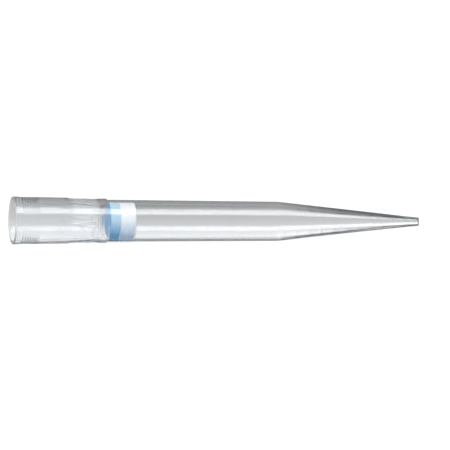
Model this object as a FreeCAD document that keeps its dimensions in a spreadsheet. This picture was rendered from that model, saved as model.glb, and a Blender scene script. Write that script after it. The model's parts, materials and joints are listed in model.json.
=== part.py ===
"""Filtered pipette tip for about 1000 microlitres: one clear moulded tip and two porous filter discs.

The tip is drawn about its own X axis, from the rim at x = 0 to the orifice, and then laid down: it rests on
the last ring of its rim band and on the shoulder of its barrel, with its open end towards -X. The resting
surface is z = 0, and the origin is under the middle of the tip. Millimetres throughout.
"""

import FreeCAD, Part
import math
import os

import Sketcher

# Driving dimensions. Each is set by itself; every other size is worked out from these in the expressions below.
SIZES = {
    # Lengths along the axis.
    "tip_length": (76.0, "rim face to orifice"),
    "lip_length": (1.2, "plain lip at the rim"),
    "band_length": (3.4, "band of fine rings behind the lip"),
    "plain_length": (5.7, "smooth part of the collar, between the band and the waist"),
    "waist_length": (5.65, "waist of the collar, which carries the ribs"),
    "bead_length": (1.5, "bead at the collar's lower end, whose face rests in a rack"),
    "cone_length": (24.0, "shoulder to the start of the nozzle"),
    "nozzle_length": (2.4, "finer end that dips in the liquid"),
    # Sections: the bore that grips the pipette comes first, and walls and steps build out from it.
    "land_radius": (3.5, "sealing land, where the pipette's nozzle presses in"),
    "collar_wall": (0.78, "wall outside the sealing land"),
    "lip_rise": (0.1, "lip above the collar"),
    "band_rise": (0.05, "crest of the rings above the collar"),
    "collar_draft": (0.06, "radius that the plain collar loses down to the waist"),
    "waist_drop": (0.14, "step from the plain collar into the waist"),
    "waist_draft": (0.1, "radius that the waist loses down to the bead"),
    "bead_drop": (0.22, "bead below the collar"),
    "step_run": (0.18, "length of the small slopes into the waist and the bead"),
    "filter_step": (0.16, "filter's bore below the sealing land"),
    "barrel_wall": (0.51, "wall of the barrel at the collar"),
    "barrel_taper": (0.25, "radius that the barrel loses down to its shoulder"),
    "shoulder_wall": (0.5, "wall of the barrel at its shoulder"),
    "nozzle_root_bore": (0.52, "radius of the bore where the nozzle starts"),
    "nozzle_root_wall": (0.48, "wall where the nozzle starts"),
    "orifice_radius": (0.4, "radius of the opening at the point"),
    "orifice_wall": (0.38, "wall round the orifice"),
    # Socket for the pipette's nozzle.
    "mouth_flare": (0.38, "mouth above the sealing land, so that the socket tapers"),
    "lead_in": (0.17, "chamfer of the mouth, across"),
    "lead_in_depth": (0.35, "chamfer of the mouth, along the axis"),
    "land_depth": (9.0, "rim face to the sealing land"),
    "land_length": (2.0, "length of the sealing land"),
    # Filter.
    "filter_inset": (0.35, "collar's lower face to the filter's front face"),
    "filter_lead": (0.6, "bore already at the filter's size ahead of it"),
    "blue_thickness": (1.85, "front disc"),
    "white_thickness": (3.0, "rear disc"),
    "filter_clearance": (0.01, "radial gap between the discs and their bore"),
    "filter_seat": (0.1, "step that the rear disc stops on"),
    "filter_chamfer": (0.1, "broken edges of the discs"),
    # Rings of the rim band.
    "ring_margin": (0.25, "plain lip to the middle of the first ring groove"),
    "ring_pitch": (0.48, "spacing of the ring grooves"),
    "ring_width": (0.32, "width of a ring groove at the crest"),
    "ring_depth": (0.08, "depth of a ring groove"),
    # Wedge ribs of the waist.
    "rib_count": (6, "ribs round the waist"),
    "rib_width": (1.4, "width of a rib at its blunt end"),
    "rib_overlap": (0.3, "length of a rib's point inside the plain collar"),
    "rib_gap": (0.5, "blunt end of a rib to the bead"),
    "rib_root": (0.2, "depth of a rib's foot in the wall"),
    "rib_draft": (14, "draft of a rib's sides, in degrees"),
    # Edge rounding.
    "lip_round": (0.2, "outer edge of the rim"),
    "bead_round": (0.1, "outer edge of the bead's lower face"),
    "shoulder_round": (5.0, "shoulder between the barrel and the cone"),
    "orifice_chamfer": (0.08, "outer edge of the point"),
}


def sized(formula):
    """Writes a formula of plain size names as an expression on the sheet."""
    words = formula.replace("(", "( ").replace(")", " )").split()
    return " ".join(f"Sizes.{word}" if word in SIZES else word for word in words)


# Outer radii.
COLLAR_RADIUS = sized("land_radius + collar_wall")
COLLAR_FOOT_RADIUS = f"{COLLAR_RADIUS} - {sized('collar_draft')}"
LIP_RADIUS = f"{COLLAR_RADIUS} + {sized('lip_rise')}"
BAND_RADIUS = f"{COLLAR_RADIUS} + {sized('band_rise')}"
WAIST_RADIUS = f"{COLLAR_FOOT_RADIUS} - {sized('waist_drop')}"
WAIST_FOOT_RADIUS = f"{WAIST_RADIUS} - {sized('waist_draft')}"
BEAD_RADIUS = f"{COLLAR_RADIUS} - {sized('bead_drop')}"
BARREL_RADIUS = sized("land_radius - filter_step + barrel_wall")
SHOULDER_RADIUS = f"{BARREL_RADIUS} - {sized('barrel_taper')}"
NOZZLE_ROOT_RADIUS = sized("nozzle_root_bore + nozzle_root_wall")
NOZZLE_RADIUS = sized("orifice_radius + orifice_wall")

# Radii of the bore.
MOUTH_RADIUS = sized("land_radius + mouth_flare")
MOUTH_EDGE_RADIUS = f"{MOUTH_RADIUS} + {sized('lead_in')}"
FILTER_BORE = sized("land_radius - filter_step")
SEAT_BORE = f"{FILTER_BORE} - {sized('filter_seat')}"
SHOULDER_BORE = f"{SHOULDER_RADIUS} - {sized('shoulder_wall')}"

# Places along the axis, from the rim face.
BAND_END = sized("lip_length + band_length")
WAIST_AT = f"{BAND_END} + {sized('plain_length')}"
BEAD_AT = f"{WAIST_AT} + {sized('waist_length')}"
COLLAR_END = f"{BEAD_AT} + {sized('bead_length')}"
NOZZLE_AT = sized("tip_length - nozzle_length")
SHOULDER_AT = f"{NOZZLE_AT} - {sized('cone_length')}"
LAND_END = sized("land_depth + land_length")
BLUE_AT = f"{COLLAR_END} + {sized('filter_inset')}"
WHITE_AT = f"{BLUE_AT} + {sized('blue_thickness')}"
FILTER_END = f"{WHITE_AT} + {sized('white_thickness')}"
RIB_START = f"{WAIST_AT} - {sized('rib_overlap')}"
RIB_END = f"{BEAD_AT} - {sized('rib_gap')}"

# How the tip lies: level along the line from its shoulder to its lip or its last ring, whichever is lower.
LIP_LEAN = f"atan(({LIP_RADIUS} - ({SHOULDER_RADIUS})) / ({SHOULDER_AT} - {sized('lip_length')}))"
BAND_LEAN = f"atan(({BAND_RADIUS} - ({SHOULDER_RADIUS})) / ({SHOULDER_AT} - ({BAND_END})))"
REST_ANGLE = f"max({LIP_LEAN}; {BAND_LEAN})"
REST_RISE = f"({SHOULDER_AT}) * sin({REST_ANGLE}) + ({SHOULDER_RADIUS}) * cos({REST_ANGLE})"
REST_SHIFT = f"-0.5 * ({sized('tip_length')} * cos({REST_ANGLE}) - ({LIP_RADIUS}) * sin({REST_ANGLE}))"

# The wall's section, from the rim's inner edge round the outside to the orifice and back along the bore.
# A corner is its place along the axis, its radius, and the radius of its rounding if it has one.
WALL_SECTION = [
    ("0", MOUTH_EDGE_RADIUS),
    ("0", LIP_RADIUS),
    (sized("lip_length"), LIP_RADIUS),
    (sized("lip_length"), BAND_RADIUS),
    (BAND_END, BAND_RADIUS),
    (BAND_END, COLLAR_RADIUS),
    (WAIST_AT, COLLAR_FOOT_RADIUS),
    (f"{WAIST_AT} + {sized('step_run')}", WAIST_RADIUS),
    (BEAD_AT, WAIST_FOOT_RADIUS),
    (f"{BEAD_AT} + {sized('step_run')}", BEAD_RADIUS),
    (COLLAR_END, BEAD_RADIUS),
    (COLLAR_END, BARREL_RADIUS),
    (SHOULDER_AT, SHOULDER_RADIUS, sized("shoulder_round")),
    (NOZZLE_AT, NOZZLE_ROOT_RADIUS),
    (sized("tip_length"), NOZZLE_RADIUS),
    (sized("tip_length"), sized("orifice_radius")),
    (NOZZLE_AT, sized("nozzle_root_bore")),
    (SHOULDER_AT, SHOULDER_BORE),
    (FILTER_END, SEAT_BORE),
    (FILTER_END, FILTER_BORE),
    (f"{BLUE_AT} - {sized('filter_lead')}", FILTER_BORE),
    (LAND_END, sized("land_radius")),
    (sized("land_depth"), sized("land_radius")),
    (sized("lead_in_depth"), MOUTH_RADIUS),
]

START, END, CENTRE = 1, 2, 3  # a sketch curve's points
ORIGIN, ACROSS, UPRIGHT = -1, -1, -2  # a sketch's own origin and axes


def make_sheet(doc):
    """Fills the sheet with the driving dimensions, one to a row."""
    sheet = doc.addObject("Spreadsheet::Sheet", "Sizes")
    for row, (name, (value, meaning)) in enumerate(SIZES.items(), start=1):
        sheet.set(f"A{row}", str(value))
        sheet.setAlias(f"A{row}", name)
        sheet.set(f"B{row}", name)
        sheet.set(f"C{row}", meaning)
    doc.recompute()
    return sheet


def lay_down(body):
    """Turns a body about Y so that the tip's lower edge is level, and sets it on z = 0."""
    body.Placement = FreeCAD.Placement(FreeCAD.Vector(), FreeCAD.Rotation(FreeCAD.Vector(0, 1, 0), 1))
    body.setExpression("Placement.Rotation.Angle", REST_ANGLE)
    body.setExpression("Placement.Base.x", REST_SHIFT)
    body.setExpression("Placement.Base.z", REST_RISE)


def make_body(doc, name):
    """Makes an empty body that lies as the tip lies."""
    body = doc.addObject("PartDesign::Body", name)
    body.Label = name
    lay_down(body)
    return body


def origin_part(body, role):
    """The body's own plane or axis with this role, such as XZ_Plane."""
    return next(part for part in body.Origin.OriginFeatures if part.Role == role)


def make_sketch(body, name, plane, offset=None):
    """Puts a sketch on one of the body's own planes, moved out along its normal by an expression."""
    sketch = body.newObject("Sketcher::SketchObject", name)
    sketch.AttachmentSupport = [(origin_part(body, plane), "")]
    sketch.MapMode = "FlatFace"
    if offset:
        sketch.setExpression("AttachmentOffset.Base.z", offset)
    body.Document.recompute()
    return sketch


def hold(sketch, kind, curve, point, formula):
    """Holds a point of a curve at a distance from the sketch's origin, DistanceX or DistanceY."""
    if formula == "0":
        axis = UPRIGHT if kind == "DistanceX" else ACROSS
        sketch.addConstraint(Sketcher.Constraint("PointOnObject", curve, point, axis))
        return
    value = float(sketch.evalExpression(formula))
    index = sketch.addConstraint(Sketcher.Constraint(kind, ORIGIN, START, curve, point, value))
    sketch.setExpression(f"Constraints[{index}]", formula)


def corner_points(before, corner, after, radius):
    """Where a rounding of this radius leaves the two sides of a corner, and the middle of its arc."""
    back = (before - corner).normalize()
    ahead = (after - corner).normalize()
    half_angle = back.getAngle(ahead) / 2
    setback = radius / math.tan(half_angle)
    inward = (back + ahead).normalize()
    middle = corner + inward * (radius / math.sin(half_angle) - radius)
    return corner + back * setback, middle, corner + ahead * setback


def draw_outline(sketch, corners):
    """Draws a closed outline, clockwise, through corners given as (along, out) or (along, out, rounding)."""
    values = [[float(sketch.evalExpression(formula)) for formula in corner] for corner in corners]
    points = [FreeCAD.Vector(x, y) for x, y, *_ in values]
    count = len(corners)
    ends = []
    for i, (point, (_, _, *rounding)) in enumerate(zip(points, values)):
        neighbours = points[i - 1], points[(i + 1) % count]
        plain = (point, None, point)
        ends.append(corner_points(neighbours[0], point, neighbours[1], *rounding) if rounding else plain)
    for i in range(count):
        sketch.addGeometry(Part.LineSegment(ends[i][2], ends[(i + 1) % count][0]), False)
    for i, (along, out, *rounding) in enumerate(corners):
        before, after = (i - 1) % count, i
        if rounding:
            arrive, middle, leave = ends[i]
            arc = sketch.addGeometry(Part.Arc(leave, middle, arrive), False)
            sketch.addConstraint(Sketcher.Constraint("Tangent", before, END, arc, END))
            sketch.addConstraint(Sketcher.Constraint("Tangent", after, START, arc, START))
            index = sketch.addConstraint(Sketcher.Constraint("Radius", arc, values[i][2]))
            sketch.setExpression(f"Constraints[{index}]", rounding[0])
            mark = sketch.addGeometry(Part.Point(points[i]), True)
            sketch.addConstraint(Sketcher.Constraint("PointOnObject", mark, START, before))
            sketch.addConstraint(Sketcher.Constraint("PointOnObject", mark, START, after))
        else:
            mark = after
            sketch.addConstraint(Sketcher.Constraint("Coincident", after, START, before, END))
        hold(sketch, "DistanceX", mark, START, along)
        hold(sketch, "DistanceY", mark, START, out)


def turn(body, kind, name, sketch):
    """Revolves a sketch a full turn about the tip's axis, as a Revolution or a Groove."""
    feature = body.newObject(f"PartDesign::{kind}", name)
    feature.Profile = sketch
    feature.ReferenceAxis = (origin_part(body, "X_Axis"), [""])
    feature.Angle = 360
    body.Document.recompute()
    return feature


def dress_edges(body, kind, name, size, places):
    """Rounds or chamfers, as kind says, the ring-shaped edges of the body at the given (along, out) places."""
    base = body.Tip
    picked = []
    for along, out in places:
        x, r = (float(body.evalExpression(formula)) for formula in (along, out))
        for number, edge in enumerate(base.Shape.Edges, start=1):
            curve = edge.Curve
            if isinstance(curve, Part.Circle) and abs(curve.Radius - r) < 1e-4 and abs(curve.Center.x - x) < 1e-4:
                picked.append(f"Edge{number}")
    if len(picked) < len(places):
        raise RuntimeError(f"{name}: an edge to dress is missing")
    feature = body.newObject(f"PartDesign::{kind}", name)
    feature.Base = (base, picked)
    feature.setExpression({"Fillet": "Radius", "Chamfer": "Size"}[kind], size)
    body.Document.recompute()
    return feature


def cut_rings(body):
    """Cuts the fine ring grooves of the rim band: one V groove, repeated along the axis."""
    sketch = make_sketch(body, "ring_section", "XZ_Plane")
    first_at, half = sized("lip_length + ring_margin"), sized("ring_width / 2")
    over = f"{BAND_RADIUS} + {sized('ring_depth')}"
    corners = [
        (f"{first_at} - {half} * 2", over),
        (f"{first_at} + {half} * 2", over),
        (first_at, f"{BAND_RADIUS} - {sized('ring_depth')}"),
    ]
    draw_outline(sketch, corners)
    first = turn(body, "Groove", "first_ring", sketch)

    rings = body.newObject("PartDesign::LinearPattern", "rings")
    rings.Originals = [first]
    rings.Direction = (origin_part(body, "X_Axis"), [""])
    count = f"floor(({sized('band_length - ring_margin')} - {half}) / {sized('ring_pitch')}) + 1"
    rings.setExpression("Occurrences", count)
    rings.setExpression("Length", f"({count} - 1) * {sized('ring_pitch')}")
    body.Tip = rings
    body.Document.recompute()
    return rings


def raise_ribs(body):
    """Raises the wedge ribs of the waist: pointed towards the rim, round at the blunt end, with drafted sides."""
    foot = f"{WAIST_RADIUS} - {sized('rib_root')}"
    sketch = make_sketch(body, "rib_outline", "XZ_Plane", offset=foot)
    half = sized("rib_width / 2")
    apex_x, end_x, radius = (float(sketch.evalExpression(f)) for f in (RIB_START, RIB_END, half))
    apex = FreeCAD.Vector(apex_x, 0)
    centre = FreeCAD.Vector(end_x - radius, 0)
    upper, lower, blunt = (centre + FreeCAD.Vector(x, y) for x, y in ((0, radius), (0, -radius), (radius, 0)))
    side_up, end_arc, side_down = (
        sketch.addGeometry(Part.LineSegment(apex, upper), False),
        sketch.addGeometry(Part.Arc(lower, blunt, upper), False),
        sketch.addGeometry(Part.LineSegment(lower, apex), False),
    )
    sketch.addConstraint(Sketcher.Constraint("Coincident", side_up, START, side_down, END))
    sketch.addConstraint(Sketcher.Constraint("Tangent", side_up, END, end_arc, END))
    sketch.addConstraint(Sketcher.Constraint("Tangent", side_down, START, end_arc, START))
    hold(sketch, "DistanceX", side_up, START, RIB_START)
    hold(sketch, "DistanceY", side_up, START, "0")
    hold(sketch, "DistanceX", end_arc, CENTRE, f"{RIB_END} - {half}")
    hold(sketch, "DistanceY", end_arc, CENTRE, "0")
    index = sketch.addConstraint(Sketcher.Constraint("Radius", end_arc, radius))
    sketch.setExpression(f"Constraints[{index}]", half)

    rib = body.newObject("PartDesign::Pad", "first_rib")
    rib.Profile = sketch
    rib.setExpression("Length", f"{COLLAR_FOOT_RADIUS} - ({foot})")
    rib.setExpression("TaperAngle", f"-{sized('rib_draft')}")
    body.Document.recompute()

    ribs = body.newObject("PartDesign::PolarPattern", "ribs")
    ribs.Originals = [rib]
    ribs.Axis = (origin_part(body, "X_Axis"), [""])
    ribs.Angle = 360
    ribs.setExpression("Occurrences", sized("rib_count"))
    body.Tip = ribs
    body.Document.recompute()
    return ribs


def make_tip_body(doc):
    """The clear tip: a revolved wall with ring grooves, wedge ribs and rounded edges."""
    body = make_body(doc, "tip_body")
    section = make_sketch(body, "wall_section", "XZ_Plane")
    draw_outline(section, WALL_SECTION)
    wall = turn(body, "Revolution", "wall", section)
    rings = cut_rings(body)
    if rings.Shape.Volume >= wall.Shape.Volume:
        raise RuntimeError("the ring grooves cut nothing")
    ribs = raise_ribs(body)
    if ribs.Shape.Volume <= rings.Shape.Volume:
        raise RuntimeError("the ribs add nothing")
    dress_edges(body, "Fillet", "lip_edge", sized("lip_round"), [("0", LIP_RADIUS)])
    dress_edges(body, "Fillet", "bead_edge", sized("bead_round"), [(COLLAR_END, BEAD_RADIUS)])
    point = (sized("tip_length"), NOZZLE_RADIUS)
    dress_edges(body, "Chamfer", "orifice_edge", sized("orifice_chamfer"), [point])
    return body


def make_filter(doc, name, start, thickness):
    """One porous disc with broken edges, pressed into the filter's bore."""
    body = make_body(doc, name)
    sketch = make_sketch(body, f"{name}_outline", "YZ_Plane", offset=start)
    radius = f"{FILTER_BORE} - {sized('filter_clearance')}"
    circle = Part.Circle(FreeCAD.Vector(), FreeCAD.Vector(0, 0, 1), float(sketch.evalExpression(radius)))
    sketch.addGeometry(circle, False)
    sketch.addConstraint(Sketcher.Constraint("Coincident", 0, CENTRE, ORIGIN, START))
    index = sketch.addConstraint(Sketcher.Constraint("Radius", 0, circle.Radius))
    sketch.setExpression(f"Constraints[{index}]", radius)
    disc = body.newObject("PartDesign::Pad", f"{name}_disc")
    disc.Profile = sketch
    disc.setExpression("Length", thickness)
    doc.recompute()
    far_face = f"{start} + {thickness}"
    places = [(start, radius), (far_face, radius)]
    dress_edges(body, "Chamfer", f"{name}_edges", sized("filter_chamfer"), places)
    return body


def check(doc, bodies):
    """Stops if any object failed, or a body's shape isn't one valid solid."""
    doc.recompute()
    for item in doc.Objects:
        if "Invalid" in item.State or "Error" in item.State:
            raise RuntimeError(f"{item.Name} failed: {item.State}")
    for body in bodies:
        shape = body.Shape
        if shape.isNull() or not shape.isValid() or len(shape.Solids) != 1:
            raise RuntimeError(f"{body.Label} isn't one valid solid")


def main():
    doc = FreeCAD.newDocument("PipetteTip")
    make_sheet(doc)
    bodies = [
        make_tip_body(doc),
        make_filter(doc, "filter_blue", BLUE_AT, sized("blue_thickness")),
        make_filter(doc, "filter_white", WHITE_AT, sized("white_thickness")),
    ]
    check(doc, bodies)
    os.makedirs("parts", exist_ok=True)
    for body in bodies:
        body.Shape.exportStep(os.path.join("parts", f"{body.Label}.step"))
        box = body.Shape.BoundBox
        print(f"{body.Label}: {body.Shape.Volume:.2f} mm3, {box}")


main()
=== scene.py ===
"""Looks of a filtered pipette tip: one clear moulded tip that holds a blue and a white porous disc.

The tip and its discs are drawn about the tip's own axis, in millimetres from the rim, with the sizes of the
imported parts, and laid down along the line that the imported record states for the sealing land.
"""

import json
import logging
import math
from dataclasses import dataclass, field
from enum import Enum

import bmesh
import bpy
from mathutils import Matrix, Vector, noise

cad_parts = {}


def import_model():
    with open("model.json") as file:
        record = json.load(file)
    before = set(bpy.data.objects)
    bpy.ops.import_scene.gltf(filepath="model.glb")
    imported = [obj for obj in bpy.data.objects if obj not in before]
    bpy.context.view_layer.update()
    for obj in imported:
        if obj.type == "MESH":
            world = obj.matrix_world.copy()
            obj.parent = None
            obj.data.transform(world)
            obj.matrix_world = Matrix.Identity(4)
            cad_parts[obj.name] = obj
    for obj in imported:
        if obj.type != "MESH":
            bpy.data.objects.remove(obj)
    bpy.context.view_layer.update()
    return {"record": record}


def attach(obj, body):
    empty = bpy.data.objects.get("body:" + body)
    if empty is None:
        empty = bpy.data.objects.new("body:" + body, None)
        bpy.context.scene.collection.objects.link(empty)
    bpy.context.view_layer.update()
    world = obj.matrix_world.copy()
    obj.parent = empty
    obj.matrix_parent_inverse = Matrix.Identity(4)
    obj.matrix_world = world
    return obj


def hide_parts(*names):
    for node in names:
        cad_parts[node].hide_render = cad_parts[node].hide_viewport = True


MM = 0.001
BODY = "root"
TURN = 2 * math.pi
# Attribute with each disc point's share of painted shade where it touches the wall.
SEATED_SHADE = "seated_shade"
# How far a guard point stands off its arc, as a share of the way between two of the arc's points.
GUARD_SHARE = 0.4
# A Mix node's sockets for colours, by number, because their names repeat.
MIX_SHARE, MIX_FIRST, MIX_SECOND, MIX_RESULT = 0, 6, 7, 2

log = logging.getLogger("pipette_tip")

Profile = list[tuple[float, float]]
Colour = tuple[float, float, float]
Scales = tuple[float, float, float]
Stops = tuple[tuple[float, float], ...]

WHITE: Colour = (1.0, 1.0, 1.0)


class Layer(Enum):
    """The two discs of the filter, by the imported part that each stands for."""

    BLUE = "filter_blue"
    WHITE = "filter_white"


class Zone(Enum):
    """Shares of the tip's surface that its finish tells apart, by the name of the mesh's attribute."""

    BORE = "bore"
    THICK = "thick_wall"
    # The slim cone and the ring grooves carry painted shade.
    SLIM = "slim_cone"
    GROOVE = "ring_groove"


@dataclass(frozen=True)
class Corner:
    """A corner of a turned outline: its place along the axis, its radius and its rounding. Millimetres."""

    along: float
    out: float
    rounding: float = 0.0


@dataclass(frozen=True)
class TipAxis:
    """The tip's own frame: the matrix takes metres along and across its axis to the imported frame."""

    matrix: Matrix

    @classmethod
    def from_record(cls, record: dict, land_middle: float) -> "TipAxis":
        """Finds the axis from the mount on the sealing land.

        Args:
            record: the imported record.
            land_middle: the middle of the sealing land, in millimetres from the rim.

        Returns:
            The tip's frame, with its origin at the middle of the rim face.
        """
        seat = next(mount for mount in record["mounts"] if mount["name"] == "nozzle_seat")
        along = -Vector(seat["axis"]).normalized()
        across = Vector((0, 1, 0))
        upward = along.cross(across).normalized()
        rotation = Matrix((along, across, upward)).transposed().to_4x4()
        origin = Vector(seat["pos_m"]) - along * land_middle * MM
        return cls(Matrix.Translation(origin) @ rotation)


class Nodes:
    """A node tree that is filled by short calls."""

    def __init__(self, tree: bpy.types.NodeTree) -> None:
        """Empties the tree."""
        self.tree = tree
        tree.nodes.clear()

    def add(self, kind: str, settings: dict | None = None, **sockets: object) -> bpy.types.Node:
        """Adds a node.

        Args:
            kind: the node's type, without its ShaderNode prefix.
            settings: properties of the node.
            **sockets: inputs by name, with _ for a space; a value is set and a socket is linked.

        Returns:
            The new node.
        """
        node = self.tree.nodes.new(f"ShaderNode{kind}")
        for name, value in (settings or {}).items():
            setattr(node, name, value)
        for name, value in sockets.items():
            self.feed(node.inputs[name.replace("_", " ")], value)
        return node

    def feed(self, socket: bpy.types.NodeSocket, value: object) -> None:
        """Fills an input.

        Args:
            socket: the input.
            value: an output to link it to, or the value to set.
        """
        if isinstance(value, bpy.types.NodeSocket):
            self.tree.links.new(value, socket)
        else:
            socket.default_value = value

    def attribute(self, name: str) -> bpy.types.NodeSocket:
        """Reads one of the mesh's attributes."""
        return self.add("Attribute", {"attribute_name": name}).outputs["Fac"]

    def maths(self, operation: str, *values: object, clamp: bool = False) -> bpy.types.NodeSocket:
        """Adds a Math node.

        Args:
            operation: the node's operation.
            *values: its inputs in order, numbers or sockets.
            clamp: keep the result between 0 and 1.

        Returns:
            The result's socket.
        """
        node = self.add("Math", {"operation": operation, "use_clamp": clamp})
        for socket, value in zip(node.inputs, values):
            self.feed(socket, value)
        return node.outputs[0]

    def blend(self, share: object, first: object, second: object) -> bpy.types.NodeSocket:
        """Mixes two colours.

        Args:
            share: how much of the second colour, a number or a socket.
            first: the first colour.
            second: the second colour.

        Returns:
            The mixed colour's socket.
        """
        node = self.add("Mix", {"data_type": "RGBA"})
        for index, value in ((MIX_SHARE, share), (MIX_FIRST, first), (MIX_SECOND, second)):
            self.feed(node.inputs[index], value)
        return node.outputs[MIX_RESULT]

    def ramp(self, value: object, *stops: tuple[float, float]) -> bpy.types.NodeSocket:
        """Turns a value into a grey level along straight stretches.

        Args:
            value: the value's socket.
            *stops: places and levels.

        Returns:
            The level's socket.
        """
        node = self.add("ValToRGB", Fac=value)
        elements = node.color_ramp.elements
        while len(elements) < len(stops):
            elements.new(0.5)
        for element, (place, level) in zip(elements, stops):
            element.position = place
            element.color = (level, level, level, 1)
        return node.outputs[0]


def rgba(colour: Colour) -> tuple[float, float, float, float]:
    """A colour with full alpha."""
    return (*colour, 1.0)


def new_material(name: str) -> tuple[bpy.types.Material, Nodes]:
    """Makes an empty node material.

    Args:
        name: the material's name.

    Returns:
        The material and its nodes.
    """
    material = bpy.data.materials.new(name)
    material.use_nodes = True
    return material, Nodes(material.node_tree)


def climb(value: float, start: float, run: float) -> float:
    """A share that climbs from 0 at a start to 1 after a run."""
    return min(max((value - start) / run, 0.0), 1.0)


@dataclass(frozen=True)
class ClearPlastic:
    """Clear moulded polypropylene: glassy outside, duller in the bore, milky where the wall is thick.

    Smoke is what a thick wall swallows, shade the tint of its shadow, and polish the roughness along the
    flow marks. The edge and the groove are painted shade: they darken steep faces of the slim cone and of
    the rings, by how far a face turns from the eye. The ripple is the flow marks' strength and height, in
    metres.
    """

    index: float = 1.49
    tint: Colour = (0.965, 0.975, 0.985)
    smoke: Colour = (0.80, 0.83, 0.86)
    smoke_density: float = 330.0
    shade: Colour = (0.90, 0.92, 0.94)
    flow_scale: Scales = (60.0, 900.0, 900.0)
    cloud_scale: float = 420.0
    polish: tuple[float, float] = (0.01, 0.04)
    bore_dullness: float = 0.11
    milk: float = 0.035
    milk_clouds: Stops = ((0.3, 0.8), (0.7, 1.0))
    # Painted shade on the slim cone's steep faces: its strength by facing, and its colour.
    edge: Stops = ((0.16, 0.0), (0.21, 0.8), (0.32, 0.75), (0.45, 0.6), (0.58, 0.85), (0.70, 1.0))
    painted_edge_shade: Colour = (0.05, 0.052, 0.055)
    # Painted shade in the ring grooves: the facing range over which it grows, and its colour.
    groove: tuple[float, float] = (0.12, 0.42)
    painted_groove_shade: Colour = (0.82, 0.83, 0.84)
    ripple: tuple[float, float] = (0.06, 0.00002)

    def material(self) -> bpy.types.Material:
        """Builds the material.

        Returns:
            A refracting plastic that lets lamp light reach what stands behind it.
        """
        material, nodes = new_material("clear_polypropylene")
        place = nodes.add("TexCoord").outputs["Object"]
        stretched = nodes.add("Mapping", Vector=place, Scale=self.flow_scale).outputs[0]
        flow = nodes.add("TexNoise", Vector=stretched, Scale=1.0, Detail=3.0).outputs[0]
        cloud = nodes.add("TexNoise", Vector=place, Scale=self.cloud_scale, Detail=2.0).outputs[0]
        zones = {zone: nodes.attribute(zone.value) for zone in Zone}
        smooth, dull = self.polish
        polish = nodes.add("MapRange", Value=flow, To_Min=smooth, To_Max=dull).outputs[0]
        polish = nodes.maths("MULTIPLY_ADD", zones[Zone.BORE], self.bore_dullness, polish)
        tint = nodes.blend(cloud, rgba(self.tint), rgba(WHITE))
        facing = nodes.add("LayerWeight").outputs["Facing"]
        # Painted shade: the slim cone's steep faces darken as they turn from the eye.
        edge = nodes.maths("MULTIPLY", nodes.ramp(facing, *self.edge), zones[Zone.SLIM])
        tint = nodes.blend(edge, tint, rgba(self.painted_edge_shade))
        # Painted shade: the ring grooves darken as they turn from the eye.
        start, end = self.groove
        groove = nodes.add("MapRange", Value=facing, From_Min=start, From_Max=end).outputs[0]
        groove = nodes.maths("MULTIPLY", groove, zones[Zone.GROOVE])
        tint = nodes.blend(groove, tint, rgba(self.painted_groove_shade))
        milk = nodes.maths("MULTIPLY", zones[Zone.THICK], nodes.ramp(cloud, *self.milk_clouds))
        strength, height = self.ripple
        ripple = nodes.add("Bump", Strength=strength, Distance=height, Height=flow).outputs[0]
        plastic = nodes.add(
            "BsdfPrincipled",
            Base_Color=tint,
            Roughness=polish,
            IOR=self.index,
            Transmission_Weight=nodes.maths("MULTIPLY_ADD", milk, -self.milk, 1.0),
            Normal=ripple,
        )
        clear = nodes.add("BsdfTransparent", Color=rgba(self.shade))
        surface = nodes.add("MixShader", Fac=nodes.add("LightPath").outputs["Is Shadow Ray"])
        nodes.feed(surface.inputs[1], plastic.outputs[0])
        nodes.feed(surface.inputs[2], clear.outputs[0])
        smoke = nodes.add("VolumeAbsorption", Color=rgba(self.smoke), Density=self.smoke_density)
        nodes.add("OutputMaterial", Surface=surface.outputs[0], Volume=smoke.outputs[0])
        return material


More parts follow.
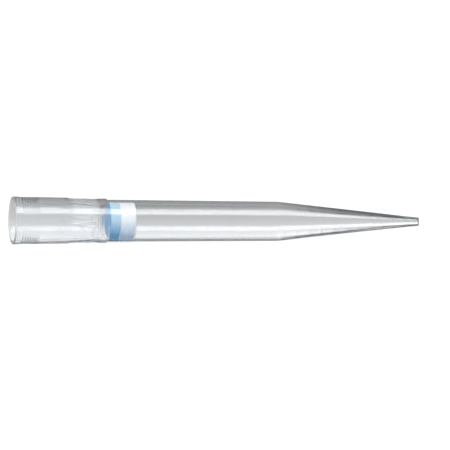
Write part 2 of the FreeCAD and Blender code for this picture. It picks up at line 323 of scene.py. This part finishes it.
@dataclass(frozen=True)
class PorousPlastic:
    """Sintered porous polyethylene: matte and grainy, darker where it touches the wall that it sits in.

    Mottle and relief say how much the grains count beside the patches and the turned lines. The pits are
    the bump's strength and depth, in metres, and the bloom is a soft sheen with its own roughness. The
    darker contact colour is painted shade, partly the darker look of wall contact.
    """

    name: str
    colour: Colour
    shade: Colour
    seated_shade: Colour
    index: float = 1.5
    grain_scale: float = 6500.0
    patch_scale: float = 1400.0
    line_scale: Scales = (9000.0, 260.0, 260.0)
    mottle: tuple[float, float] = (0.35, 0.6)
    relief: float = 0.7
    pits: tuple[float, float] = (0.35, 0.00006)
    roughness: tuple[float, float] = (0.7, 0.95)
    bloom: float = 0.4
    bloom_roughness: float = 0.6

    def material(self) -> bpy.types.Material:
        """Builds the material.

        Returns:
            A matte plastic whose colour and bump follow the grains.
        """
        material, nodes = new_material(self.name)
        place = nodes.add("TexCoord").outputs["Object"]
        grains = nodes.add("TexVoronoi", Vector=place, Scale=self.grain_scale).outputs["Distance"]
        patches = nodes.add("TexNoise", Vector=place, Scale=self.patch_scale, Detail=4.0).outputs[0]
        lined = nodes.add("Mapping", Vector=place, Scale=self.line_scale).outputs[0]
        lines = nodes.add("TexNoise", Vector=lined, Scale=1.0, Detail=2.0).outputs[0]
        patch_share = nodes.maths("MULTIPLY", patches, self.mottle[1])
        mottle = nodes.maths("MULTIPLY_ADD", grains, self.mottle[0], patch_share, clamp=True)
        colour = nodes.blend(mottle, rgba(self.colour), rgba(self.shade))
        # Painted shade, partly the darker look of wall contact, where the disc touches the wall.
        colour = nodes.blend(nodes.attribute(SEATED_SHADE), colour, rgba(self.seated_shade))
        relief = nodes.maths("ADD", nodes.maths("MULTIPLY", grains, self.relief), lines)
        strength, depth = self.pits
        bump = nodes.add("Bump", Strength=strength, Distance=depth, Height=relief).outputs[0]
        smooth, coarse = self.roughness
        rough = nodes.add("MapRange", Value=patches, To_Min=smooth, To_Max=coarse).outputs[0]
        plastic = nodes.add(
            "BsdfPrincipled",
            Base_Color=colour,
            Roughness=rough,
            IOR=self.index,
            Sheen_Weight=self.bloom,
            Sheen_Roughness=self.bloom_roughness,
            Normal=bump,
        )
        nodes.add("OutputMaterial", Surface=plastic.outputs[0])
        return material


# How the painted pool of light fades far from the tip: distances in metres and levels.
FAR_POOL: Stops = ((0.012, 0.76), (0.018, 0.66), (0.023, 0.61), (0.031, 0.54), (0.084, 0.42))


@dataclass(frozen=True)
class WhitePaper:
    """The studio's white paper: white to the eye, with a painted pool of light round the tip for gloss and
    glass.

    A pool gives the level of painted light by the distance from the line that the tip lies along, in metres,
    up to its reach. It is dark right under the tip: a painted shadow. The cone has a brighter pool of its
    own, and one turns into the other between two places along the tip. The bounce is the colour that lights
    matte pieces from below.
    """

    colour: Colour = (0.88, 0.89, 0.90)
    fibre_colour: Colour = (0.92, 0.93, 0.94)
    fibre_scale: float = 900.0
    bounce: Colour = (0.16, 0.26, 0.38)
    glow_share: float = 0.8
    half_length: float = 0.038
    forward_shift: float = 0.0004
    pool: Stops = ((0.0, 0.14), (0.0005, 0.18), (0.0010, 1.15), (0.003, 1.02), (0.007, 0.88), *FAR_POOL)
    cone_pool: Stops = ((0.0, 0.14), (0.0009, 0.16), (0.0015, 1.8), (0.004, 1.6), (0.007, 1.0), *FAR_POOL)
    reach: float = 0.1
    cone_from: float = 0.011
    cone_to: float = 0.024

    def material(self) -> bpy.types.Material:
        """Builds the material.

        Returns:
            Matte paper that is white to the eye and keeps a soft shadow.
        """
        material, nodes = new_material("white_paper")
        place = nodes.add("TexCoord").outputs["Object"]
        fibre = nodes.add("TexNoise", Vector=place, Scale=self.fibre_scale, Detail=3.0).outputs[0]
        tone = nodes.blend(fibre, rgba(self.colour), rgba(self.fibre_colour))
        light = nodes.add("LightPath").outputs
        tone = nodes.blend(light["Is Diffuse Ray"], tone, rgba(self.bounce))
        paper = nodes.add("BsdfDiffuse", Color=tone, Roughness=1.0)
        # Painted light: gloss and glass see the paper glow with the pool of light and its painted shadow
        # under the tip.
        white = nodes.blend(light["Is Camera Ray"], self.pool_level(nodes, place), rgba(WHITE))
        glow = nodes.add("Emission", Color=white, Strength=1.0)
        mirrored = nodes.maths("ADD", light["Is Glossy Ray"], light["Is Transmission Ray"], clamp=True)
        share = nodes.maths("MULTIPLY_ADD", light["Is Camera Ray"], self.glow_share, mirrored, clamp=True)
        surface = nodes.add("MixShader", Fac=share)
        nodes.feed(surface.inputs[1], paper.outputs[0])
        nodes.feed(surface.inputs[2], glow.outputs[0])
        nodes.add("OutputMaterial", Surface=surface.outputs[0])
        return material

    def pool_level(self, nodes: Nodes, place: bpy.types.NodeSocket) -> bpy.types.NodeSocket:
        """Adds the painted pool of light, with its painted shadow right under the tip.

        Args:
            nodes: the paper's nodes.
            place: the place on the floor.

        Returns:
            The level of light there.
        """
        parts = nodes.add("SeparateXYZ", Vector=place).outputs
        past_end = nodes.maths("SUBTRACT", nodes.maths("ABSOLUTE", parts["X"]), self.half_length)
        past_end = nodes.maths("MAXIMUM", past_end, 0.0)
        aside = nodes.maths("ADD", parts["Y"], self.forward_shift)
        square = nodes.maths("ADD", nodes.maths("POWER", past_end, 2.0), nodes.maths("POWER", aside, 2.0))
        distance = nodes.maths("DIVIDE", nodes.maths("SQRT", square), self.reach)
        level = nodes.ramp(distance, *self.by_reach(self.pool))
        cone_level = nodes.ramp(distance, *self.by_reach(self.cone_pool))
        forward = nodes.add("MapRange", Value=parts["X"], From_Min=self.cone_from, From_Max=self.cone_to)
        return nodes.blend(forward.outputs[0], level, cone_level)

    def by_reach(self, pool: Stops) -> Stops:
        """A pool's distances as shares of its reach."""
        return tuple((distance / self.reach, level) for distance, level in pool)


def rounded(corners: list[Corner], step: float = 0.2) -> Profile:
    """Draws a chain of corners as points, with an arc at each rounding and a guard point beside it.

    Args:
        corners: the corners in order.
        step: the angle between an arc's points, in radians.

    Returns:
        Points along and out, in millimetres.
    """
    points: Profile = []
    for i, corner in enumerate(corners):
        here = Vector((corner.along, corner.out))
        if not corner.rounding or i in (0, len(corners) - 1):
            points.append((here.x, here.y))
            continue
        before = Vector((corners[i - 1].along, corners[i - 1].out))
        after = Vector((corners[i + 1].along, corners[i + 1].out))
        back, ahead = (before - here).normalized(), (after - here).normalized()
        half = back.angle(ahead) / 2
        setback = corner.rounding / math.tan(half)
        middle = here + (back + ahead).normalized() * (corner.rounding / math.sin(half))
        start, end = here + back * setback, here + ahead * setback
        sweep = math.pi - 2 * half
        count = max(2, math.ceil(sweep / step))
        first, last = start - middle, end - middle
        sweep = math.copysign(sweep, first.x * last.y - first.y * last.x)
        guard = GUARD_SHARE * corner.rounding * step
        points.append(tuple(start + back * guard))
        for k in range(count + 1):
            cos, sin = math.cos(sweep * k / count), math.sin(sweep * k / count)
            along = middle.x + first.x * cos - first.y * sin
            points.append((along, middle.y + first.x * sin + first.y * cos))
        points.append(tuple(here + ahead * (setback + guard)))
    return shortened(points)


def shortened(points: Profile, longest: float = 2.5) -> Profile:
    """Divides the long spans of an outline.

    Args:
        points: the outline.
        longest: the longest span to leave whole, in millimetres.

    Returns:
        The outline with more points.
    """
    divided: Profile = []
    for (x, y), (end_x, end_y) in zip(points, points[1:]):
        count = max(1, math.ceil(math.hypot(end_x - x, end_y - y) / longest))
        divided += [(x + (end_x - x) * k / count, y + (end_y - y) * k / count) for k in range(count)]
    return [*divided, points[-1]]


@dataclass
class TipBody:
    """The clear tip: ringed rim, smooth collar, ribbed waist, bead, long barrel, cone and nozzle.

    Millimetres and degrees. A place is the distance from the rim's face along the axis. The milk fields are
    shares of the collar's own milkiness, and the slim fields say where painted shade darkens the cone's
    edges.
    """

    axis: TipAxis
    length: float = 76.0
    mouth_radius: float = 4.05
    lip_end: float = 1.2
    lip_radius: float = 4.38
    lip_rounding: float = 0.2
    lip_step: float = 0.03
    band_end: float = 4.6
    band_step: float = 0.04
    band_radius: float = 4.33
    collar_radius: float = 4.28
    collar_foot: float = 4.22
    waist_at: float = 10.3
    waist_radius: float = 4.08
    waist_foot: float = 3.98
    bead_at: float = 15.95
    bead_radius: float = 4.06
    step_run: float = 0.34
    step_rounding: float = 1.5
    collar_end: float = 17.45
    ledge_rounding: float = 0.05
    ledge_root: float = 0.03
    barrel_radius: float = 3.85
    shoulder_at: float = 49.6
    shoulder_radius: float = 3.6
    shoulder_rounding: float = 5.0
    nozzle_at: float = 73.6
    nozzle_root: float = 1.0
    nozzle_rounding: float = 2.0
    nozzle_radius: float = 0.78
    point_edge: float = 0.08
    point_draft: float = 0.007
    point_rounding: tuple[float, float] = (0.04, 0.03)
    fine_rounding: float = 0.02

    lead_in: float = 0.35
    lead_in_rounding: float = 0.1
    socket_radius: float = 3.88
    land_start: float = 9.0
    land_end: float = 11.0
    land_radius: float = 3.5
    filter_bore_at: float = 17.2
    filter_bore_radius: float = 3.34
    filter_step_at: float = 22.65
    barrel_bore_radius: float = 3.24
    shoulder_bore_radius: float = 3.1
    nozzle_bore_radius: float = 0.52
    orifice_radius: float = 0.4
    bore_rounding: float = 1.0

    ring_count: int = 7
    ring_first: float = 1.45
    ring_pitch: float = 0.48
    ring_depth: float = 0.09
    ring_steps: int = 8

    rib_count: int = 6
    rib_start: float = 10.0
    rib_end: float = 15.45
    rib_width: float = 1.4
    rib_wall: float = 0.12
    rib_fade: float = 1.8
    rib_margin: float = 0.1
    crest_radius: float = 4.18
    crest_share: float = 0.25
    foot_share: float = 0.6
    columns: int = 44

    rim_depth: float = 0.12
    rim_milk: float = 9.0
    waist_milk: float = 1.5
    milk_run: float = 1.6
    bead_milk: float = 0.1
    slim_run: float = 12.0
    slimmest_at: float = 64.0
    slimmest_run: float = 10.0
    slimmest_extra: float = 0.4
    crease: float = 38.0
    finish: ClearPlastic = field(default_factory=ClearPlastic)

    def outside(self) -> Profile:
        """Draws the outside.

        Returns:
            Its outline from the rim's inner edge to the point.
        """
        rings: list[Corner] = []
        for k in range(self.ring_count * self.ring_steps + 1):
            wave = 0.5 - 0.5 * math.cos(TURN * k / self.ring_steps)
            along = self.ring_first + (k / self.ring_steps - 0.5) * self.ring_pitch
            rings.append(Corner(along, self.band_radius - self.ring_depth * wave))
        ribs_from = self.rib_start - self.rib_margin
        fine = self.fine_rounding
        outer, inner = self.point_rounding
        corners = [
            Corner(0, self.mouth_radius),
            Corner(0, self.lip_radius, self.lip_rounding),
            Corner(self.lip_end, self.lip_radius, fine),
            Corner(self.lip_end + self.lip_step, self.band_radius, fine),
            *rings,
            Corner(self.band_end, self.band_radius, fine),
            Corner(self.band_end + self.band_step, self.collar_radius, fine),
            Corner(ribs_from, self.collar_line(ribs_from)),
            *(Corner(row, self.ribless_radius(row)) for row in self.rib_rows()),
            Corner(self.bead_at - self.step_run, self.waist_foot, self.step_rounding),
            Corner(self.bead_at + self.step_run, self.bead_radius, self.step_rounding),
            Corner(self.collar_end, self.bead_radius, self.ledge_rounding),
            Corner(self.collar_end, self.barrel_radius, self.ledge_root),
            Corner(self.shoulder_at, self.shoulder_radius, self.shoulder_rounding),
            Corner(self.nozzle_at, self.nozzle_root, self.nozzle_rounding),
            Corner(self.length - self.point_edge, self.nozzle_radius + self.point_draft, outer),
            Corner(self.length, self.nozzle_radius - self.point_edge, inner),
            Corner(self.length, self.orifice_radius),
        ]
        return rounded(corners)

    def inside(self) -> Profile:
        """Draws the bore.

        Returns:
            Its outline from the point back to the rim.
        """
        corners = [
            Corner(self.length, self.orifice_radius),
            Corner(self.nozzle_at, self.nozzle_bore_radius, self.bore_rounding),
            Corner(self.shoulder_at, self.shoulder_bore_radius, self.shoulder_rounding),
            Corner(self.filter_step_at, self.barrel_bore_radius, self.fine_rounding),
            Corner(self.filter_step_at, self.filter_bore_radius, self.fine_rounding),
            Corner(self.filter_bore_at, self.filter_bore_radius, self.bore_rounding),
            Corner(self.land_end, self.land_radius, self.bore_rounding),
            Corner(self.land_start, self.land_radius, self.bore_rounding),
            Corner(self.lead_in, self.socket_radius, self.lead_in_rounding),
            Corner(0, self.mouth_radius),
        ]
        return rounded(corners)

    def collar_line(self, along: float) -> float:
        """The plain collar's radius at a place along it."""
        share = (along - self.band_end) / (self.waist_at - self.band_end)
        return self.collar_radius + share * (self.collar_foot - self.collar_radius)

    def ribless_radius(self, along: float) -> float:
        """The radius of the ribs' zone without its ribs: plain collar, small slope, then waist.

        Args:
            along: the place.

        Returns:
            The radius there.
        """
        if along <= self.waist_at:
            return self.collar_line(along)
        slope_end = self.waist_at + self.step_run
        if along < slope_end:
            share = (along - self.waist_at) / self.step_run
            share = share * share * (3 - 2 * share)
            return self.collar_foot + share * (self.waist_radius - self.collar_foot)
        share = (along - slope_end) / (self.bead_at - slope_end)
        return self.waist_radius + share * (self.waist_foot - self.waist_radius)

    def rib_rows(self) -> list[float]:
        """Spaces the rows of points across the ribs' zone.

        Returns:
            The rows' places, close together at the ribs' ends.
        """
        pointed_rows, pointed_pitch = 9, 0.06
        even_rows, blunt_rows = 34, 14
        rows = [self.rib_start + pointed_pitch * k for k in range(pointed_rows)]
        blunt_from = self.rib_end - self.rib_width / 2
        rows += [rows[-1] + (blunt_from - rows[-1]) * k / even_rows for k in range(1, even_rows + 1)]
        for k in range(1, blunt_rows + 1):
            rows.append(blunt_from + self.rib_width / 2 * math.sin(math.pi / 2 * k / blunt_rows))
        rows.append(self.rib_end + self.rib_margin / 2)
        return rows

    def rib_half_width(self, along: float, inset: float) -> float:
        """Half a rib's width, drawn in from its foot all round by an inset.

        Args:
            along: the place.
            inset: how far inside the foot.

        Returns:
            The half width there.
        """
        radius = self.rib_width / 2
        centre = self.rib_end - radius
        if along >= centre:
            left = (radius - inset) ** 2 - (along - centre) ** 2
            return math.sqrt(left) if left > 0 else 0.0
        lean = math.asin(radius / (centre - self.rib_start))
        width = (along - self.rib_start) * math.tan(lean) - inset / math.cos(lean)
        return min(max(width, 0.0), radius - inset)

    def column_angle(self, column: int, along: float) -> tuple[float, float]:
        """Where a column of points stands, with the columns closer together on a rib's walls.

        Args:
            column: the column's number within its rib's sector.
            along: the place.

        Returns:
            The column's angle from the middle of the rib, and its share of the rib's height.
        """
        place = 2 * column / self.columns - 1
        sector = math.pi / self.rib_count
        slack, least_foot, least_crest = 0.001, 0.004, 0.002
        if not self.rib_start <= along <= self.rib_end + slack:
            return place * sector, 0.0
        reach = self.waist_radius
        foot = max(self.rib_half_width(along, 0.0), least_foot) / reach
        crest = max(self.rib_half_width(along, self.rib_wall), least_crest) / reach
        side, size = math.copysign(1, place), abs(place)
        if size <= self.crest_share:
            angle = crest * size / self.crest_share
        elif size <= self.foot_share:
            wall_share = self.foot_share - self.crest_share
            angle = crest + (foot - crest) * (size - self.crest_share) / wall_share
        else:
            angle = foot + (sector - foot) * (size - self.foot_share) / (1 - self.foot_share)
        width = angle * reach
        share = min(max(self.foot_inset(along, width) / self.rib_wall, 0.0), 1.0)
        fade = min((self.rib_end - along) / self.rib_fade, 1.0)
        return side * angle, share * share * (3 - 2 * share) * max(fade, 0.0)

    def foot_inset(self, along: float, width: float) -> float:
        """How far inside a rib's foot a point lies.

        Args:
            along: the point's place.
            width: its distance from the middle of the rib, round the tip.

        Returns:
            The distance, negative outside the foot.
        """
        radius = self.rib_width / 2
        centre = self.rib_end - radius
        if along >= centre:
            return radius - math.hypot(along - centre, width)
        lean = math.asin(radius / (centre - self.rib_start))
        return (along - self.rib_start) * math.sin(lean) - width * math.cos(lean)

    def point(self, number: int, along: float, out: float, outer: bool) -> Vector:
        """One point of the turned mesh.

        Args:
            number: the point's number round the tip.
            along: its place.
            out: the outline's radius there.
            outer: whether it lies on the outside, which carries the ribs.

        Returns:
            The point in metres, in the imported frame.
        """
        sector = TURN / self.rib_count
        angle, radius = TURN * number / (self.rib_count * self.columns) - sector / 2, out
        if outer:
            rib, column = divmod(number, self.columns)
            own, raised = self.column_angle(column, along)
            angle = rib * sector + own
            crest = self.crest_radius / math.cos(own)
            if crest > out:
                radius = out + (crest - out) * raised
        return self.axis.matrix @ (Vector((along, radius * math.cos(angle), radius * math.sin(angle))) * MM)

    def mesh(self) -> bpy.types.Mesh:
        """Turns the outline round the axis, with the ribs raised on the waist.

        Returns:
            A closed mesh in metres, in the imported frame.
        """
        outside, inside = self.outside(), self.inside()
        outline = outside + inside[1:-1]
        around = self.rib_count * self.columns
        work = bmesh.new()
        rows = []
        for i, (along, out) in enumerate(outline):
            outer = i < len(outside)
            rows.append([work.verts.new(self.point(k, along, out, outer)) for k in range(around)])
        layers = {zone: work.faces.layers.float.new(zone.value) for zone in Zone}
        for i, (first, second) in enumerate(zip(rows, rows[1:] + rows[:1])):
            along = (outline[i][0] + outline[(i + 1) % len(outline)][0]) / 2
            shares = self.zones(along, i >= len(outside) - 1)
            for k in range(around):
                n = (k + 1) % around
                face = work.faces.new((first[k], second[k], second[n], first[n]))
                for zone, share in shares.items():
                    face[layers[zone]] = share
        bmesh.ops.recalc_face_normals(work, faces=work.faces)
        return finish_mesh(work, "tip_body_clear", math.radians(self.crease))

    def zones(self, along: float, bore: bool) -> dict[Zone, float]:
        """How much a place on the tip belongs to each zone of the finish.

        Args:
            along: the place.
            bore: whether it lies on the inside.

        Returns:
            A share for each zone: 0 for none and 1 for all, or more where the finish shows more strongly.
        """
        milk, slim, groove = self.milk_at(along), 0.0, 0.0
        if not bore:
            slim = climb(along, self.shoulder_at, self.slim_run)
            slim += self.slimmest_extra * climb(along, self.slimmest_at, self.slimmest_run)
            turns = (along - self.ring_first) / self.ring_pitch + 0.5
            if 0 < turns < self.ring_count:
                groove = 0.5 - 0.5 * math.cos(TURN * turns)
        return {Zone.BORE: float(bore), Zone.THICK: milk, Zone.SLIM: slim, Zone.GROOVE: groove}

    def milk_at(self, along: float) -> float:
        """How milky the wall is.

        Args:
            along: the place.

        Returns:
            A share of the collar's milkiness.
        """
        if along < self.rim_depth:
            return self.rim_milk
        if along >= self.collar_end:
            return 0.0
        if along > self.bead_at:
            return self.bead_milk
        return 1.0 + self.waist_milk * climb(along, self.waist_at, self.milk_run)

    def build(self) -> bpy.types.Object:
        """Makes the tip and dresses it.

        Returns:
            The clear tip's object.
        """
        return place_piece("clear_tip", self.mesh(), self.finish.material(), "tip_body")


def finish_mesh(work: bmesh.types.BMesh, name: str, crease: float) -> bpy.types.Mesh:
    """Makes a mesh smooth apart from edges that bend more than an angle.

    Args:
        work: the mesh under construction, which is freed.
        name: the mesh's name.
        crease: the angle in radians.

    Returns:
        The finished mesh.
    """
    for face in work.faces:
        face.smooth = True
    for edge in work.edges:
        edge.smooth = edge.calc_face_angle(0) < crease
    mesh = bpy.data.meshes.new(name)
    work.to_mesh(mesh)
    work.free()
    return mesh


def place_piece(
    name: str, mesh: bpy.types.Mesh, material: bpy.types.Material, node: str
) -> bpy.types.Object:
    """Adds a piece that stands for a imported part.

    Args:
        name: the piece's name.
        mesh: its mesh.
        material: its material.
        node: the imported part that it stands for.

    Returns:
        The piece.
    """
    piece = bpy.data.objects.new(name, mesh)
    bpy.context.scene.collection.objects.link(piece)
    mesh.materials.append(material)
    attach(piece, BODY)
    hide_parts(node)
    log.info("%s: %d faces, stands for %s", name, len(mesh.polygons), node)
    return piece


@dataclass
class FilterDisc:
    """One porous disc: a short cylinder with broken edges and a grainy surface. Millimetres and degrees.

    The disc sits low in its bore by its drop. Where its sides touch the bore's radius, low down, its colour
    darkens as painted shade, partly the darker look of wall contact; its faces darken almost wholly.
    """

    axis: TipAxis
    layer: Layer
    start: float
    thickness: float
    finish: PorousPlastic
    slot: str
    radius: float = 3.339
    edge: float = 0.1
    rear_edge: float = 0.1
    edge_steps: int = 6
    face_rings: int = 14
    side_pitch: float = 0.06
    around: int = 180
    grain: float = 0.008
    turned: float = 0.0035
    bumps: float = 5.5
    streaks: float = 3.0
    drop: float = 0.012
    seat_radius: float = 3.34
    seated_from: float = 0.3
    # Painted shade on both faces.
    face_seated_shade: float = 0.95
    crease: float = 30.0
    seed: float = 0.0

    def outline(self) -> Profile:
        """Draws the disc.

        Returns:
            Its outline from the middle of its front face round to the middle of its rear face.
        """
        end, rings = self.start + self.thickness, self.face_rings
        front_reach, rear_reach = self.radius - self.edge, self.radius - self.rear_edge
        front = [(self.start, front_reach * k / rings) for k in range(1, rings)]
        rear = [(end, rear_reach * k / rings) for k in range(rings - 1, 0, -1)]
        steps = max(4, round(self.thickness / self.side_pitch))
        side_from, side_to = self.start + self.edge, end - self.rear_edge
        side = [(side_from + (side_to - side_from) * k / steps, self.radius) for k in range(steps + 1)]
        corner = []
        for k in range(1, self.edge_steps + 1):
            turn = math.pi / 2 * k / self.edge_steps
            drawn_in = self.rear_edge * (1 - math.cos(turn))
            corner.append((side_to + self.rear_edge * math.sin(turn), self.radius - drawn_in))
        return [*front, (self.start, front_reach), *side, *corner, *rear]

    def mesh(self) -> bpy.types.Mesh:
        """Turns the outline and roughens it with grains.

        Returns:
            A closed mesh in metres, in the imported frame.
        """
        work = bmesh.new()
        touch = work.verts.layers.float.new(SEATED_SHADE)
        rows = []
        for along, out in self.outline():
            row = []
            for k in range(self.around):
                spot, seated_shade = self.grainy_spot(along, out, TURN * k / self.around)
                row.append(work.verts.new(self.axis.matrix @ (spot * MM)))
                row[-1][touch] = seated_shade
            rows.append(row)
        for first, second in zip(rows, rows[1:]):
            for k in range(self.around):
                n = (k + 1) % self.around
                work.faces.new((first[k], second[k], second[n], first[n]))
        work.faces.new(rows[0])
        work.faces.new(rows[-1])
        bmesh.ops.recalc_face_normals(work, faces=work.faces)
        return finish_mesh(work, self.layer.value + "_grainy", math.radians(self.crease))

    def grainy_spot(self, along: float, out: float, angle: float) -> tuple[Vector, float]:
        """Roughens one point of the disc: streaks round its side, bumps sunk into its faces.

        Args:
            along: the point's place along the axis.
            out: its radius.
            angle: its angle round the axis, in radians.

        Returns:
            The point about the tip's axis, and its share of painted shade from touching the wall.
        """
        spot = Vector((along, out * math.cos(angle), out * math.sin(angle)))
        slack = 0.001
        if self.start + slack < along < self.start + self.thickness - slack:
            turned_at = along * self.bumps + self.seed
            streak = Vector((turned_at, self.streaks * math.cos(angle), self.streaks * math.sin(angle)))
            spot.yz = spot.yz * (1 + self.turned * noise.noise(streak) / out)
            spot.z -= self.drop
            return spot, self.seating(math.hypot(spot.y, spot.z))
        bump = abs(self.grain * noise.noise(spot * self.bumps + Vector((self.seed, 0, 0))))
        spot.x += bump if along < self.start + slack else -bump
        spot.z -= self.drop
        return spot, self.face_seated_shade

    def seating(self, out: float) -> float:
        """How firmly a point of the side at a radius sits on the wall, from 0 for loose to 1."""
        return min(max((out - self.seat_radius) / self.drop + self.seated_from, 0.0), 1.0)

    def build(self) -> bpy.types.Object:
        """Makes the disc and dresses it.

        Returns:
            The disc's object.
        """
        name = self.layer.name.lower() + "_disc"
        return place_piece(name, self.mesh(), self.finish.material(), self.layer.value)


@dataclass(frozen=True)
class SoftBox:
    """A lamp that faces the tip, in metres. A radiance of 1 is paper white.

    It lights matte surfaces only, or it shows in gloss and glass only.
    """

    name: str
    place: tuple[float, float, float]
    size: tuple[float, float]
    radiance: float
    matte: bool

    def build(self, target: Vector) -> bpy.types.Object:
        """Sets up the lamp.

        Args:
            target: the point that it faces.

        Returns:
            The lamp.
        """
        data = bpy.data.lights.new(self.name, "AREA")
        data.shape = "RECTANGLE"
        data.size, data.size_y = self.size
        data.energy = self.radiance * math.pi * self.size[0] * self.size[1]
        data.cycles.use_multiple_importance_sampling = not self.matte
        lamp = bpy.data.objects.new(self.name, data)
        lamp.location = self.place
        lamp.rotation_euler = (target - Vector(self.place)).to_track_quat("-Z", "Y").to_euler()
        lamp.visible_camera = False
        lamp.visible_diffuse = self.matte
        lamp.visible_glossy = lamp.visible_transmission = not self.matte
        if not self.matte:
            self.keep_off_matte(data)
        bpy.context.scene.collection.objects.link(lamp)
        return lamp

    def keep_off_matte(self, data: bpy.types.Light) -> None:
        """Puts the lamp out for light that has met a matte surface, also through glass.

        Args:
            data: the lamp's data.
        """
        data.use_nodes = True
        nodes = Nodes(data.node_tree)
        matte_steps = nodes.add("LightPath").outputs["Diffuse Depth"]
        glow = nodes.add("Emission", Strength=nodes.maths("SUBTRACT", 1.0, matte_steps, clamp=True))
        nodes.add("OutputLight", Surface=glow.outputs[0])


@dataclass
class Studio:
    """White paper, four soft boxes, a graded studio for gloss and glass, and the camera.

    Metres and degrees. The frame is frame_side units wide, the scale is units to a millimetre, and the
    frame's middle lies right of the tip's middle and below it by the offset, in units. The sky is the level
    behind the tip, by how steeply a direction climbs, and the front and the sides open to a lighter level.
    """

    centre: Vector
    azimuth: float = -10.4
    elevation: float = 9.8
    roll: float = 1.05
    distance: float = 2.0
    scale: float = 5.435
    frame_side: int = 450
    offset: tuple[float, float] = (9.1, 4.0)
    sensor: float = 36.0
    clip: tuple[float, float] = (0.01, 20.0)
    floor_reach: float = 4.0
    floor_drop: float = 0.00002
    floor_squares: int = 24
    sky: Stops = ((0.0, 0.23), (0.07, 0.25), (0.16, 0.35), (1.0, 0.35))
    open_front: tuple[float, float] = (0.0, -0.35)
    open_sides: tuple[float, float] = (0.45, 0.75)
    open_level: float = 0.75
    paper: WhitePaper = field(default_factory=WhitePaper)
    boxes: tuple[SoftBox, ...] = (
        SoftBox("key_box", (0.10, -0.442, 0.384), (1.0, 0.34), 3.58, matte=True),
        SoftBox("shine_box", (0.10, -0.281, 0.533), (1.0, 0.34), 4.9, matte=False),
        SoftBox("back_box", (0.10, 0.47, 0.35), (1.0, 0.34), 1.80, matte=True),
        SoftBox("side_box", (-0.6, -0.25, 0.25), (0.4, 0.4), 4.0, matte=True),
    )

    def basis(self) -> tuple[Vector, Vector, Vector]:
        """Works out where the camera faces, before its roll.

        Returns:
            The directions back towards it, right and up.
        """
        a, e = math.radians(self.azimuth), math.radians(self.elevation)
        back = Vector((math.sin(a) * math.cos(e), -math.cos(a) * math.cos(e), math.sin(e)))
        right = Vector((math.cos(a), math.sin(a), 0.0))
        return back, right, back.cross(right)

    def camera(self) -> bpy.types.Object:
        """Places the camera on the open end's side, a little above the tip.

        Returns:
            The camera.
        """
        back, right, up = self.basis()
        turn = math.radians(self.roll)
        cos, sin = math.cos(turn), math.sin(turn)
        right, up = right * cos + up * sin, up * cos - right * sin
        data = bpy.data.cameras.new("camera")
        data.sensor_width = self.sensor
        field_width = self.frame_side / self.scale * MM
        data.lens = data.sensor_width * self.distance / field_width
        data.clip_start, data.clip_end = self.clip
        camera = bpy.data.objects.new("camera", data)
        bpy.context.scene.collection.objects.link(camera)
        aim = self.centre + right * self.offset[0] / self.scale * MM - up * self.offset[1] / self.scale * MM
        rotation = Matrix((right, up, back)).transposed().to_4x4()
        camera.matrix_world = Matrix.Translation(aim + back * self.distance) @ rotation
        bpy.context.scene.camera = camera
        return camera

    def floor(self) -> bpy.types.Object:
        """Lays the white paper under the tip.

        Returns:
            The floor.
        """
        work = bmesh.new()
        count = self.floor_squares
        bmesh.ops.create_grid(work, x_segments=count, y_segments=count, size=self.floor_reach)
        mesh = bpy.data.meshes.new("floor")
        work.to_mesh(mesh)
        work.free()
        mesh.materials.append(self.paper.material())
        floor = bpy.data.objects.new("floor", mesh)
        floor.location.z = -self.floor_drop
        bpy.context.scene.collection.objects.link(floor)
        return floor

    def world(self) -> None:
        """Surrounds the tip: white to the eye, and for gloss and glass grey behind and lighter elsewhere."""
        world = bpy.data.worlds.new("studio")
        world.use_nodes = True
        bpy.context.scene.world = world
        nodes = Nodes(world.node_tree)
        direction = nodes.add("TexCoord").outputs["Generated"]
        parts = nodes.add("SeparateXYZ", Vector=direction).outputs
        level = nodes.ramp(parts["Z"], *self.sky)
        start, end = self.open_front
        front = nodes.add("MapRange", Value=parts["Y"], From_Min=start, From_Max=end).outputs[0]
        start, end = self.open_sides
        aside = nodes.maths("ABSOLUTE", parts["X"])
        side = nodes.add("MapRange", Value=aside, From_Min=start, From_Max=end).outputs[0]
        open_share = nodes.maths("MAXIMUM", front, side)
        level = nodes.blend(open_share, level, rgba((self.open_level,) * 3))
        light = nodes.add("LightPath").outputs
        white = nodes.blend(light["Is Camera Ray"], level, rgba(WHITE))
        background = nodes.add("Background", Color=white, Strength=1.0)
        nodes.add("OutputWorld", Surface=background.outputs[0])

    def build(self) -> None:
        """Sets up the whole studio."""
        self.floor()
        self.world()
        for box in self.boxes:
            box.build(self.centre)
        self.camera()
        bpy.context.scene.view_settings.view_transform = "Standard"
        log.info("studio ready, with %d soft boxes", len(self.boxes))


def main() -> None:
    """Builds the tip, its filter and the studio, and reports each piece."""
    logging.basicConfig(level=logging.INFO, format="%(message)s")
    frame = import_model()
    axis = TipAxis.from_record(frame["record"], land_middle=10.0)
    tip = TipBody(axis)
    tip.build()
    blue = PorousPlastic(
        "blue_porous", colour=(0.42, 0.59, 0.70), shade=(0.49, 0.66, 0.77), seated_shade=(0.03, 0.32, 0.64)
    )
    white = PorousPlastic(
        "white_porous", colour=(0.80, 0.81, 0.815), shade=(0.86, 0.864, 0.862), seated_shade=(0.41, 0.57, 0.78)
    )
    FilterDisc(axis, Layer.BLUE, start=17.8, thickness=1.85, finish=blue, slot="blue_filter").build()
    FilterDisc(
        axis,
        Layer.WHITE,
        start=19.65,
        thickness=3.0,
        finish=white,
        slot="white_filter",
        rear_edge=0.4,
        seed=7.0,
    ).build()
    Studio(centre=axis.matrix @ Vector((tip.length / 2 * MM, 0, 0))).build()


if __name__ == "__main__":
    main()
